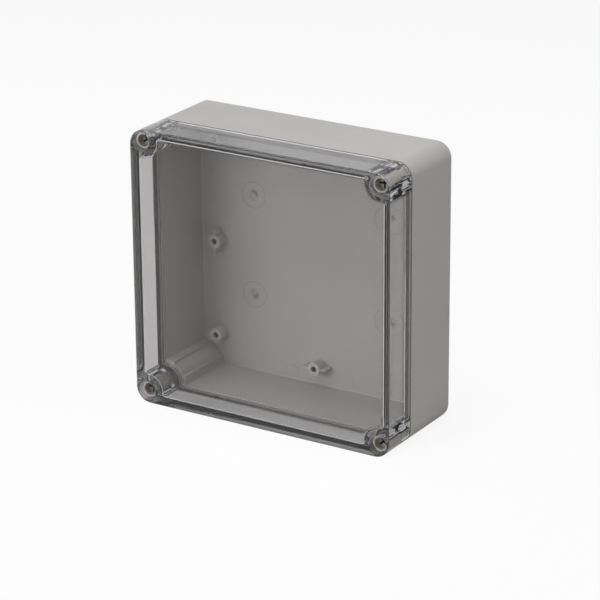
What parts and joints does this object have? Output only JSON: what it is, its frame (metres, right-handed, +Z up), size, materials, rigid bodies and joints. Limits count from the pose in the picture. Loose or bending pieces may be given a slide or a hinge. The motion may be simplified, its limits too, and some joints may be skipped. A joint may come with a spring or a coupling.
{
  "type": "electronics enclosure",
  "caption": "Square polycarbonate enclosure for electronics: an opaque grey base with fixing bosses, closed by a deep smoked clear lid with a gasket and captive corner screws.",
  "frame": {"origin": "middle of the lower side, halfway between the lid's front and the base's back", "axes": "+Z up the enclosure's side, +X to the right as seen from the lid, -Y out through the lid"},
  "size_m": [0.182, 0.075, 0.178],
  "materials": {
    "base_grey": "moulded light grey polycarbonate, fine matt skin",
    "lid_smoked_clear": "smoked clear polycarbonate, polished",
    "gasket_black": "black cellular rubber strip",
    "screw_beige": "natural beige-grey polyamide"
  },
  "bodies": {
    "base": {"base": "base_grey"},
    "lid": {"lid": "lid_smoked_clear", "gasket": "gasket_black"},
    "screw_top_left": {"lid_screw_top_left": "screw_beige"},
    "screw_top_right": {"lid_screw_top_right": "screw_beige"},
    "screw_bottom_left": {"lid_screw_bottom_left": "screw_beige"},
    "screw_bottom_right": {"lid_screw_bottom_right": "screw_beige"}
  },
  "joints": [
    {"name": "lid_slide", "type": "slide", "parent": "base", "child": "lid", "axis": [0, -1, 0], "range_m": [0, 0.06]},
    {"name": "screw_turn_top_left", "type": "hinge", "parent": "lid", "child": "screw_top_left", "pos_m": [-0.0832, -0.0165, 0.1702], "axis": [0, -1, 0], "range_deg": [0, 1440]},
    {"name": "screw_turn_top_right", "type": "hinge", "parent": "lid", "child": "screw_top_right", "pos_m": [0.0832, -0.0165, 0.1702], "axis": [0, -1, 0], "range_deg": [0, 1440]},
    {"name": "screw_turn_bottom_left", "type": "hinge", "parent": "lid", "child": "screw_bottom_left", "pos_m": [-0.0832, -0.0165, 0.0078], "axis": [0, -1, 0], "range_deg": [0, 1440]},
    {"name": "screw_turn_bottom_right", "type": "hinge", "parent": "lid", "child": "screw_bottom_right", "pos_m": [0.0832, -0.0165, 0.0078], "axis": [0, -1, 0], "range_deg": [0, 1440]}
  ]
}
